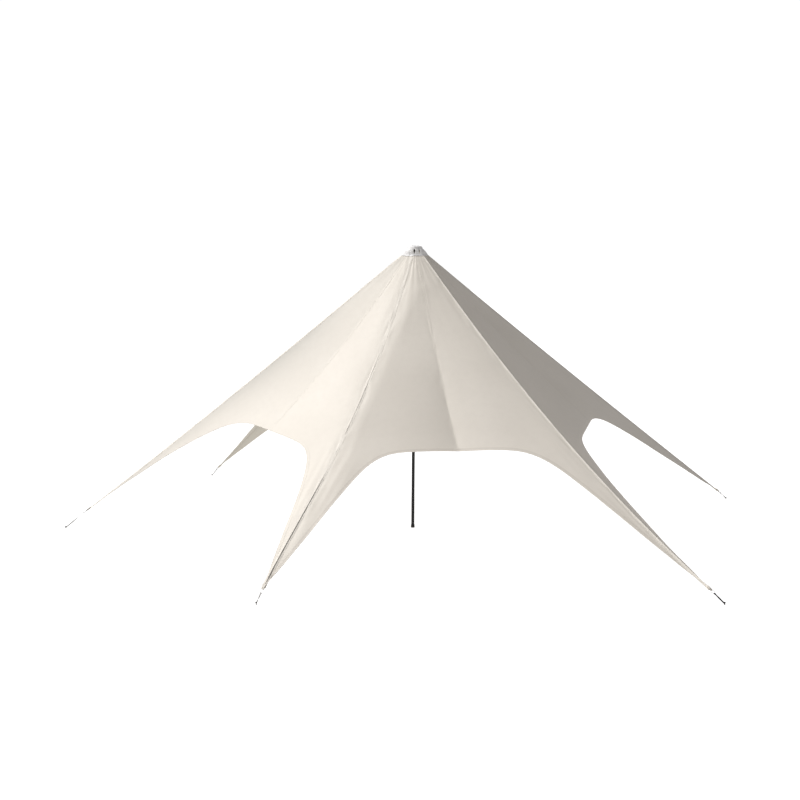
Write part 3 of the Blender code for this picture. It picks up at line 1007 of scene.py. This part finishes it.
def ridge_webbing(index, material):
    """The band over an arm's ridge, with piping down its middle, and its rows of stitches."""
    arm, bead = ARMS[index], tent().webbing.bead_radius
    top, end = hem_depth(arm), arm.cloth_end
    narrow = WEBBING_HALF_WIDTH_AT_CROWN / WEBBING_HALF_WIDTH
    crown_rows = WEBBING_CROWN_ROWS
    rows, flats, shades = [], [], []
    lines = {offset: [] for offset in (-0.86, -0.35, 0.35, 0.86)}
    count = round((end - top) * SLANT / WEBBING_PITCH)
    for step in range(-crown_rows, count + 1):
        depth = mix(top, end, max(0, step) / count)
        rise = bead * piping_share(arm, depth) * bump_between(depth - top, 0.0, 0.008)
        section = webbing_section(bead, rise)
        row = [ridge_place(index, offset, depth, lift) for offset, lift in section]
        if step < 0:
            row = [
                point.lerp(crown_point(arm.azimuth, offset * narrow, 0.003 + lift), -step / crown_rows)
                for point, (offset, lift) in zip(row, section)
            ]
        rows.append(row)
        along = depth * SLANT + min(0, step) * 0.03
        flats.append([(offset, along) for offset, _ in section])
        shades.append([painted_fold_shade(arm, depth, offset) for offset, _ in section])
        if step >= 0:
            for offset, line in lines.items():
                normal = bay_normal(BAYS[index - 1] if offset < 0 else BAYS[index])
                line.append((ridge_place(index, offset * WEBBING_HALF_WIDTH, depth, 0.0026), normal))
    name = f"{arm.name}_webbing"
    mesh = grid_mesh(name, rows, ridge_normal(index), flats, {"painted_fold_shade": shades})
    piece = thicken(new_piece(name, mesh, material), 0.003)
    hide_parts(f"{arm.name}_ridge_webbing")
    return list(lines.values())


# Crown


def crown_hem(at, depth_below, lift):
    """A point over the top hem. At runs round the crown in half bays: even on a ridge and odd on a seam."""
    at %= 2 * len(BAYS)
    bay = BAYS[int(at // 2)]
    spread = at % 2 - 1
    return sewn_point(bay, spread, half_under(bay, spread).top_at(abs(spread)) + depth_below, lift)


def slot_share(at, up):
    """How much of the way from one petal's middle to the next one's the open slot between them takes."""
    crown = tent().webbing
    widest = {1: crown.front_slot, 3: crown.second_slot}.get(round(at * 2), crown.slot)
    return widest * math.sin(math.pi * up) ** 1.5


def cap_place(away, over):
    """A point just off the cap: over is 0 at the foot of its rim and 1 well up its dome."""
    low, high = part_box("crown_cap")
    radius = (high.x - low.x) / 2 + CAP_CLEARANCE
    if over == 0:
        return away * radius + UP * (low.z + 0.001)
    angle = math.radians(mix(*CAP_ANGLES, over))
    dome = high.z - low.z - CAP_RIM
    height = low.z + CAP_RIM + CAP_CLEARANCE + dome * math.cos(angle)
    return away * (radius * math.sin(angle)) + UP * height


def crown_petal(name, index, material):
    """A white petal from over the cloth's top hem up over the cap's rim, slotted from its neighbours."""
    rows, flats = [], []
    for step in range(-2, PETAL_ROWS + PETAL_CAP_ROWS + 1):
        up = min(1.0, max(0.0, step / PETAL_ROWS))
        below = -min(0, step) / 2 * PETAL_OVERLAP
        over = max(0, step - PETAL_ROWS) / PETAL_CAP_ROWS
        row = []
        for offset in PETAL_OFFSETS:
            at = index + offset / 2 * (1 - slot_share(index + math.copysign(0.5, offset), up))
            start = crown_hem(at, below, 0.0042 + 0.002 * (1 - abs(offset) ** 8))
            away = Vector((start.x, start.y, 0)).normalized()
            bulge = (away + UP) * PETAL_BULGE * math.sin(math.pi * up)
            row.append(start.lerp(cap_place(away, over), up) + bulge)
        rows.append(row)
        flats.append([(offset * mix(0.08, 0.03, up), step * 0.02) for offset in PETAL_OFFSETS])
    middle = rows[0][len(PETAL_OFFSETS) // 2]
    mesh = grid_mesh(name, rows, Vector((middle.x, middle.y, 0)).normalized() + UP, flats)
    thicken(new_piece(name, mesh, material), 0.0025)


def crown_hub(material):
    """A black ring under the petals, turned round Z. Its points run down its outer side and back inside.

    They are given as a share of the mast head's radius and in metres below its rim.
    """
    radius, height = crown_rim()
    profile = ((0.30, 0.0205), (0.98, 0.0215), (1.12, 0.050), (1.12, 0.056), (0.90, 0.045), (0.30, 0.040))
    rows = [[point * wide + UP * (height - down) for point in ring_points(radius, ROUND_STEPS)]
            for wide, down in profile]
    mesh = grid_mesh("crown_hub", rows, None, closed=True)
    mesh.set_sharp_from_angle(angle=SHARP_ANGLE)
    new_piece("crown_hub", mesh, material)


@lru_cache(maxsize=None)
def smooth_shading():
    """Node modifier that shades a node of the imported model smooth, with its sharp edges kept."""
    group = bpy.data.node_groups.new("smooth_shading", "GeometryNodeTree")
    group.interface.new_socket("Geometry", in_out="INPUT", socket_type="NodeSocketGeometry")
    group.interface.new_socket("Geometry", in_out="OUTPUT", socket_type="NodeSocketGeometry")
    start, faces, edges, angle, sharp, end = (group.nodes.new(kind) for kind in (
        "NodeGroupInput", "GeometryNodeSetShadeSmooth", "GeometryNodeSetShadeSmooth",
        "GeometryNodeInputMeshEdgeAngle", "FunctionNodeCompare", "NodeGroupOutput",
    ))
    edges.domain = "EDGE"
    edges.inputs["Shade Smooth"].default_value = False
    sharp.operation = "GREATER_THAN"
    sharp.inputs[1].default_value = SMOOTH_ANGLE
    for output, socket in (
        (start.outputs[0], faces.inputs["Geometry"]), (faces.outputs[0], edges.inputs["Geometry"]),
        (angle.outputs["Unsigned Angle"], sharp.inputs[0]), (sharp.outputs[0], edges.inputs["Selection"]),
        (edges.outputs[0], end.inputs[0]),
    ):
        group.links.new(output, socket)
    return group


def dress(node, material, bevel=None, rounded=False):
    """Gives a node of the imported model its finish, and softer edges by modifiers alone."""
    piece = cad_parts[node]
    piece.data.materials.clear()
    piece.data.materials.append(material)
    if bevel:
        edges = piece.modifiers.new("Edges", "BEVEL")
        edges.width = bevel
        edges.segments = 2
        edges.limit_method = "ANGLE"
        edges.angle_limit = SHARP_ANGLE
    if rounded:
        rounder = piece.modifiers.new("Rounder", "SUBSURF")
        rounder.levels = rounder.render_levels = 1
    piece.modifiers.new("Smooth shading", "NODES").node_group = smooth_shading()


# Tips


def ring_frame(arm):
    """(centre, direction from the cloth to the stake, upward normal) of an arm's ring."""
    centre = middle_of(f"{arm.name}_tip_ring")
    along = (middle_of(f"{arm.name}_ground_strap") - centre).normalized()
    across, _ = level_frame(arm.azimuth)
    normal = across.cross(along).normalized()
    return centre, along, -normal if normal.z < 0 else normal


def tip_loop(arm, material):
    """The webbing's own end, narrowed and folded back round the ring."""
    centre, along, normal = ring_frame(arm)
    across, _ = level_frame(arm.azimuth)
    wire = centre - along * tent().hardware.ring_radius
    start, back = wire - along * RING_LOOP_LENGTH, ridge_point(arm, arm.cloth_end - 0.012)
    path = [back + normal * 0.007, start + normal * RING_LOOP_RADIUS,
            *half_turn(wire, normal, along, RING_LOOP_RADIUS, 8),
            start - normal * RING_LOOP_RADIUS, back - normal * 0.012]
    widths = [0.036, 0.024, *[0.021] * (len(path) - 4), 0.024, 0.034]
    path = [(point, across * width) for point, width in zip(path, widths)]
    ribbon(f"{arm.name}_tip_loop", path, 0.02, material)


def ground_strap(arm, material):
    """A strap looped round the ring, turned on edge and looped round the stake under its head."""
    centre, along, normal = ring_frame(arm)
    across, out = level_frame(arm.azimuth)
    half = tent().hardware.strap_width / 2
    stake = middle_of(f"{arm.name}_ground_stake")
    wire = centre + along * tent().hardware.ring_radius
    at_stake = Vector((stake.x, stake.y, half + STRAP_CLEARANCE))
    upper, lower = [], []
    for step in range(1, 9):
        turn = bump_between(step / 9, 0.25, 0.75) * math.pi / 2
        place = wire + (at_stake - wire) * (step / 9)
        sideways = across * math.cos(turn) + UP * math.sin(turn)
        off_face = (normal * math.cos(turn) - across * math.sin(turn)) * STRAP_LAYER_OFFSET
        upper.append((place + off_face, sideways))
        lower.append((place - off_face, sideways))
    round_ring = [(point, across) for point in half_turn(wire, normal, -along, RING_LOOP_RADIUS, 10)]
    round_stake = [(point, UP) for point in half_turn(at_stake, across, out, STAKE_LOOP_RADIUS, 10)]
    path = [*reversed(upper), *round_ring, *lower, *reversed(round_stake), upper[-1]]
    path = [(point, side * half) for point, side in path]
    piece = ribbon(f"{arm.name}_strap", path, half, material)
    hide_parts(f"{arm.name}_ground_strap")


# Stage


def camera_on_photo(context, stage):
    """The camera where the photographer stood."""
    data = bpy.data.cameras.new("photo_view")
    data.lens = stage.lens
    data.clip_end = 500
    camera = linked("photo_view", data)
    turn = Matrix.Rotation(stage.camera_yaw, 4, "Z")
    tilt = Matrix.Rotation(math.pi / 2 + stage.camera_pitch, 4, "X")
    roll = Matrix.Rotation(stage.camera_roll, 4, "Z")
    camera.matrix_world = Matrix.Translation(stage.camera_place) @ turn @ tilt @ roll
    context.scene.camera = camera


def key_light(stage):
    """A far, soft studio light. Its bearing runs from -Y towards +X."""
    data = bpy.data.lights.new("key_light", "SUN")
    data.energy = stage.key_strength * math.pi
    data.angle = stage.key_softness
    data.color = stage.key_colour
    flat, height = math.cos(stage.key_elevation), math.sin(stage.key_elevation)
    towards = Vector((flat * math.sin(stage.key_azimuth), -flat * math.cos(stage.key_azimuth), height))
    linked("key_light", data).matrix_world = (-towards).to_track_quat("-Z", "Y").to_matrix().to_4x4()


def studio_air(context, stage):
    """Plain light from all round, brighter from the floor, in front of a white backdrop."""
    world = bpy.data.worlds.new("studio")
    context.scene.world = world
    shader = Shader(world)
    direction = shader.signal("ShaderNodeTexCoord", None, None, "Generated")
    upper = shader.axes(direction)[2].within(-0.1, 0.1)
    glow = shader.colours(upper, rgba(stage.floor_bounce), rgba(stage.sky))
    ambient = shader.add("ShaderNodeBackground", None, {"Color": glow})
    backdrop = shader.add("ShaderNodeBackground", None, {"Color": (1, 1, 1, 1), "Strength": stage.backdrop})
    seen = shader.signal("ShaderNodeLightPath", None, None, "Is Camera Ray")
    mixed = shader.add("ShaderNodeMixShader", None, {0: seen})
    shader.tree.links.new(ambient.outputs[0], mixed.inputs[1])
    shader.tree.links.new(backdrop.outputs[0], mixed.inputs[2])
    output = shader.add("ShaderNodeOutputWorld")
    shader.tree.links.new(mixed.outputs[0], output.inputs["Surface"])


def studio_floor(stage):
    """A wide, glowing pale disc that the camera sees. It throws no light or shadow on the tent."""
    ring = ring_points(stage.floor_radius, 2 * ROUND_STEPS)
    mesh = bpy.data.meshes.new("floor")
    mesh.from_pydata(ring, [], [tuple(range(len(ring)))])
    floor = linked("floor", mesh)
    material, shader = new_material("studio_floor")
    glow = {"Emission Color": (1, 1, 1, 1), "Emission Strength": stage.floor_glow}
    shader.surface(rgba(stage.floor_colour), 0.9, None, 0.0, glow)
    mesh.materials.append(material)
    floor.visible_diffuse = False
    floor.visible_glossy = False
    floor.visible_shadow = False


# Settings


def colour_of(name, description, default):
    return FloatVectorProperty(
        name=name, description=description, default=default, subtype="COLOR", min=0, max=1)


def number(name, description, default):
    return FloatProperty(name=name, description=description, default=default)


def metres(name, description, default):
    return FloatProperty(name=name, description=description, default=default, unit="LENGTH", precision=4)


def share_of(name, description, default):
    return FloatProperty(name=name, description=description, default=default, subtype="FACTOR")


def degrees(name, description, default):
    return FloatProperty(name=name, description=description, default=math.radians(default), subtype="ANGLE")


class PEAKTENT_PG_cloth(bpy.types.PropertyGroup):
    """The canopy's cloth"""

    thickness: metres("Thickness", "Thickness of the coated cloth", 0.0012)
    crown_fold: metres("Crown folds", "Height of the folds that run down from the crown", 0.006)
    ridge_pucker: metres("Ridge puckers", "Height of the puckers beside the ridge webbing", 0.012)
    seam_pucker: metres("Seam puckers", "Height of the puckers beside the middle seams", 0.005)
    arm_fold: metres("Arm folds", "Height of the pull folds along the arms", 0.010)
    slack: metres("Slack", "Height of the broad waves in the panels", 0.010)
    weave: metres("Weave", "Width of a pair of threads", 0.0016)
    # Painted shade beside the ridges: how far it reaches, beside most ridges and beside the left one.
    ridge_shade_width: metres("Ridge shade", "How far the weathered tone reaches from a ridge", 0.12)
    left_shade_width: metres("Left ridge shade", "How far it reaches from the left arm's ridge", 0.62)
    colour: colour_of("Cloth", "Cream of the coated cloth", (0.880, 0.835, 0.750))
    cloud_colour: colour_of("Clouding", "Tone of the faint clouding in the cloth", (0.845, 0.800, 0.715))
    # Colour of the painted shade beside the ridges.
    painted_ridge_shade_colour: colour_of("Ridge tone", "Weathered tone beside the ridges", (0.530, 0.512, 0.462))
    # Also the colour of the painted seam shadow along the front hem.
    soil_colour: colour_of("Soil", "Dust on the tips and round the crown", (0.50, 0.46, 0.39))
    thread_colour: colour_of("Thread", "Colour of the sewing thread", (0.80, 0.77, 0.70))


class PEAKTENT_PG_hem(bpy.types.PropertyGroup):
    """The hems round the arches"""

    width: metres("Width", "Width of the folded hem", 0.060)
    cord_radius: metres("Cord radius", "Radius of the cord in the hem's fold", 0.004)
    # A painted seam shadow along the front hem's inner half, in the soil colour.
    dust: share_of("Dust", "How much dust lies along the front hem's inner half", 0.20)


class PEAKTENT_PG_seam(bpy.types.PropertyGroup):
    """The middle seams"""

    width: metres("Width", "Width of the felled seam", 0.036)


class PEAKTENT_PG_webbing(bpy.types.PropertyGroup):
    """The webbing on the ridges and at the crown"""

    bead_radius: metres("Bead radius", "Radius of the piping down each ridge", 0.008)
    rib_pitch: metres("Rib pitch", "Distance between the ribs across webbing", 0.0042)
    thread_pitch: metres("Thread pitch", "Distance between the threads along webbing", 0.0030)
    slot: share_of("Crown slots", "Width of most slots between the petals, as a share of their spacing", 0.03)
    front_slot: share_of("Front slot", "Width of the slot that gapes most, left of the front seam", 0.38)
    second_slot: share_of("Second slot", "Width of the slot right of the front seam", 0.22)
    colour: colour_of("Webbing", "Cream of the ridge webbing", (0.88, 0.84, 0.76))
    # Besides the clouding, this tone is painted shade between the ribs and, darkened, in the front ridges'
    # folds.
    shade: colour_of("Webbing shade", "Tone between the webbing's ribs", (0.80, 0.765, 0.69))
    crown_colour: colour_of("Petals", "White of the petals at the crown", (0.97, 0.97, 0.965))
    # Besides the clouding, this tone is painted shade between the petals' ribs.
    crown_shade: colour_of("Petal shade", "Tone between the petals' ribs", (0.92, 0.92, 0.915))


class PEAKTENT_PG_hardware(bpy.types.PropertyGroup):
    """Pole, cap and ground hardware"""

    ring_radius: metres("Ring radius", "Radius of a tip ring to the middle of its wire", 0.035)
    strap_width: metres("Strap width", "Width of the ground straps", 0.025)
    paint_colour: colour_of("Pole paint", "Black powder coat of the pole", (0.010, 0.010, 0.011))
    stake_colour: colour_of("Stake paint", "Black paint of the stakes", (0.020, 0.020, 0.022))
    steel_colour: colour_of("Bare steel", "Steel where the paint has rubbed off", (0.30, 0.30, 0.30))
    zinc_colour: colour_of("Zinc", "Zinc plate of the rings", (0.56, 0.57, 0.58))
    cap_colour: colour_of("Cap", "White plastic of the crown cap", (0.92, 0.92, 0.92))
    rubber_colour: colour_of("Rubber", "Black rubber of the pole's foot", (0.018, 0.018, 0.018))
    dust_colour: colour_of("Foot dust", "Dust low down on the pole's foot", (0.16, 0.14, 0.11))
    pale_strap: colour_of("Pale strap", "Grey-white of most ground straps", (0.60, 0.595, 0.58))
    dark_strap: colour_of("Dark strap", "Black of the front right ground strap", (0.012, 0.012, 0.013))


class PEAKTENT_PG_stage(bpy.types.PropertyGroup):
    """Camera, lights and floor"""

    lens: number("Lens", "Focal length on a 36 mm sensor, in mm", 54.0)
    camera_place: FloatVectorProperty(
        name="Camera place", description="Where the camera stands", default=(0.0, -23.2855, 5.1709),
        subtype="TRANSLATION")
    camera_yaw: degrees("Yaw", "Camera turned to the left", 0.663)
    camera_pitch: degrees("Pitch", "Camera tipped up", -6.47)
    camera_roll: degrees("Roll", "Camera rolled", 0.39)
    key_azimuth: degrees("Key azimuth", "Bearing of the key light", -98)
    key_elevation: degrees("Key elevation", "Height of the key light", 43)
    key_softness: degrees("Key softness", "Angle that the key light's disc takes up", 30)
    key_strength: number("Key strength", "1 lights white to full white", 1.03)
    key_colour: colour_of("Key colour", "Colour of the key light", (1.0, 0.983, 0.984))
    sky: colour_of("Sky light", "Light from above all round", (0.262, 0.254, 0.258))
    floor_bounce: colour_of("Floor light", "Light that the floor throws back", (0.68, 0.665, 0.64))
    backdrop: number("Backdrop", "Brightness of the white that the camera sees behind the tent", 1.05)
    floor_radius: metres("Floor radius", "Radius of the floor", 220)
    floor_colour: colour_of("Floor", "Pale floor", (0.36, 0.36, 0.36))
    floor_glow: number("Floor glow", "Light that the floor shows of its own", 1.0)


class PEAKTENT_PG_tent(bpy.types.PropertyGroup):
    """All settings"""

    cloth: PointerProperty(type=PEAKTENT_PG_cloth)
    hem: PointerProperty(type=PEAKTENT_PG_hem)
    seam: PointerProperty(type=PEAKTENT_PG_seam)
    webbing: PointerProperty(type=PEAKTENT_PG_webbing)
    hardware: PointerProperty(type=PEAKTENT_PG_hardware)
    stage: PointerProperty(type=PEAKTENT_PG_stage)


# Operators


class PEAKTENT_OT_stage(bpy.types.Operator):
    """Set up the camera, the lights, the backdrop and the floor"""

    bl_idname = "peak_tent.stage"
    bl_label = "Stage"

    def execute(self, context):
        stage = tent().stage
        context.scene.view_settings.view_transform = "Standard"
        camera_on_photo(context, stage)
        key_light(stage)
        studio_air(context, stage)
        studio_floor(stage)
        return {"FINISHED"}


class PEAKTENT_OT_webbing(bpy.types.Operator):
    """Sew the webbing bands over the six ridges"""

    bl_idname = "peak_tent.webbing"
    bl_label = "Ridge webbing"

    def execute(self, context):
        look = tent().webbing
        material = webbing_material("ridge_webbing", tuple(look.colour), tuple(look.shade))
        for index, arm in enumerate(ARMS):
            stitching(f"{arm.name}_webbing_stitching", ridge_webbing(index, material))
        return {"FINISHED"}


class PEAKTENT_OT_crown(bpy.types.Operator):
    """Make the petals, the hub and the cap at the crown"""

    bl_idname = "peak_tent.crown"
    bl_label = "Crown"

    def execute(self, context):
        look = tent().webbing
        petals = webbing_material("crown_webbing", tuple(look.crown_colour), tuple(look.crown_shade))
        for index, (arm, bay) in enumerate(zip(ARMS, BAYS)):
            crown_petal(f"{arm.name}_crown_loop", 2 * index, petals)
            crown_petal(f"{bay.name}_crown_loop", 2 * index + 1, petals)
        crown_hub(paint_material("hub_paint", tent().hardware.paint_colour, 0.5, 0.0))
        dress("crown_cap", plastic_material(), bevel=0.002)
        dress("mast_head", plastic_material(), bevel=0.001)
        return {"FINISHED"}


class PEAKTENT_OT_cloth(bpy.types.Operator):
    """Lay the twelve sheets of cloth, with their hems, seams and facings"""

    bl_idname = "peak_tent.cloth"
    bl_label = "Cloth"

    def execute(self, context):
        material = cloth_material()
        for bay in BAYS:
            hem, hem_line = arch_hem(bay, material)
            seam, seam_lines = middle_seam(bay, material)
            facing, facing_line = crown_facing(bay, material)
            lines = [hem_line, *seam_lines, facing_line]
            stitches = stitching(f"{bay.name}_cloth_stitching", lines)
            for side, extra in ((-1, [hem, seam, facing, stitches]), (1, [])):
                half = half_bay(bay, side)
                piece, rows = cloth_half(half)
                declare_sheet(rows)
        return {"FINISHED"}


class PEAKTENT_OT_pole(bpy.types.Operator):
    """Finish the centre pole, its joint and its foot"""

    bl_idname = "peak_tent.pole"
    bl_label = "Centre pole"

    def execute(self, context):
        coat = paint_material("pole_paint", tent().hardware.paint_colour, 0.42, 0.02)
        for node in ("lower_pole_section", "upper_pole_section", "pole_joint_sleeve"):
            dress(node, coat, bevel=0.0006)
        dress("pole_foot", rubber_material(), bevel=0.002)
        return {"FINISHED"}


class PEAKTENT_OT_tips(bpy.types.Operator):
    """Make the loops, rings, straps and stakes at the arms' tips"""

    bl_idname = "peak_tent.tips"
    bl_label = "Tips"

    def execute(self, context):
        webbing, hardware = tent().webbing, tent().hardware
        band = webbing_material("ridge_webbing", tuple(webbing.colour), tuple(webbing.shade))
        # The darker copies of the strap colours are painted shade between the ribs.
        pale = webbing_material("pale_strap", tuple(hardware.pale_strap), rgba(hardware.pale_strap, 0.7))
        dark = webbing_material("dark_strap", tuple(hardware.dark_strap), rgba(hardware.dark_strap, 0.6))
        stake = paint_material("stake_paint", hardware.stake_colour, 0.5, 0.06)
        for arm in ARMS:
            tip_loop(arm, band)
            ground_strap(arm, dark if arm.name == "front_right" else pale)
            dress(f"{arm.name}_tip_ring", zinc_material(), rounded=True)
            dress(f"{arm.name}_ground_stake", stake, bevel=0.0015)
        return {"FINISHED"}


OPERATORS = (
    PEAKTENT_OT_stage, PEAKTENT_OT_webbing, PEAKTENT_OT_crown, PEAKTENT_OT_cloth, PEAKTENT_OT_pole,
    PEAKTENT_OT_tips,
)


class PEAKTENT_PT_parts(bpy.types.Panel):
    """Lists the tent's operators in the sidebar"""

    bl_idname = "PEAKTENT_PT_parts"
    bl_label = "Peak Tent"
    bl_space_type = "VIEW_3D"
    bl_region_type = "UI"
    bl_category = "Peak Tent"

    def draw(self, context):
        for operator in OPERATORS:
            self.layout.operator(operator.bl_idname)


CLASSES = (
    PEAKTENT_PG_cloth, PEAKTENT_PG_hem, PEAKTENT_PG_seam, PEAKTENT_PG_webbing, PEAKTENT_PG_hardware,
    PEAKTENT_PG_stage, PEAKTENT_PG_tent, *OPERATORS, PEAKTENT_PT_parts,
)


def register():
    for item in CLASSES:
        bpy.utils.register_class(item)
    bpy.types.Scene.peak_tent = PointerProperty(type=PEAKTENT_PG_tent)


def unregister():
    del bpy.types.Scene.peak_tent
    for item in reversed(CLASSES):
        bpy.utils.unregister_class(item)


def main():
    register()
    bpy.ops.peak_tent.stage()
    bpy.ops.peak_tent.webbing()
    bpy.ops.peak_tent.crown()
    bpy.ops.peak_tent.cloth()
    bpy.ops.peak_tent.pole()
    bpy.ops.peak_tent.tips()


if __name__ == "__main__":
    main()
